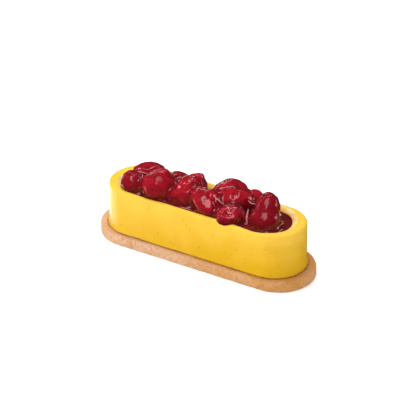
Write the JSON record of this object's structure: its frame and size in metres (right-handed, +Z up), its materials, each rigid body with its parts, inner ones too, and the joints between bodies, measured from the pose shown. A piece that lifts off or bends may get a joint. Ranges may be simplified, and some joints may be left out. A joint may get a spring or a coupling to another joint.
{
  "type": "oblong cherry cream tart",
  "caption": "Oblong dessert tart: a vanilla cream finger on a shortbread base, its top trough filled with red jelly and glazed cherries.",
  "frame": {"origin": "middle of the shortbread base's flat underside, on the surface that the tart rests on", "axes": "+Z up, +X along the finger, +Y across it, away from the side that the picture shows"},
  "size_m": [0.1307, 0.0414, 0.0473],
  "materials": {
    "shortbread": "baked shortbread, fine dry crumb, golden brown",
    "vanilla_cream": "set vanilla cream under a thin clear glaze, with fine vanilla specks",
    "red_jelly": "clear dark red jelly, wet gloss",
    "glazed_cherry": "cooked cherry under clear red glaze, wet gloss"
  },
  "bodies": {
    "root": {"shortbread_base": "shortbread", "cream_finger": "vanilla_cream", "cherry_jelly": "red_jelly", "cherry_left_front": "glazed_cherry", "cherry_left_back": "glazed_cherry", "cherry_left_middle": "glazed_cherry", "cherry_back_dimpled": "glazed_cherry", "cherry_torn": "glazed_cherry", "cherry_back_peaked": "glazed_cherry", "cherry_split": "glazed_cherry", "cherry_long": "glazed_cherry", "cherry_ridged": "glazed_cherry", "cherry_rough": "glazed_cherry", "cherry_back_small": "glazed_cherry", "cherry_right_tall": "glazed_cherry"}
  },
  "joints": []
}
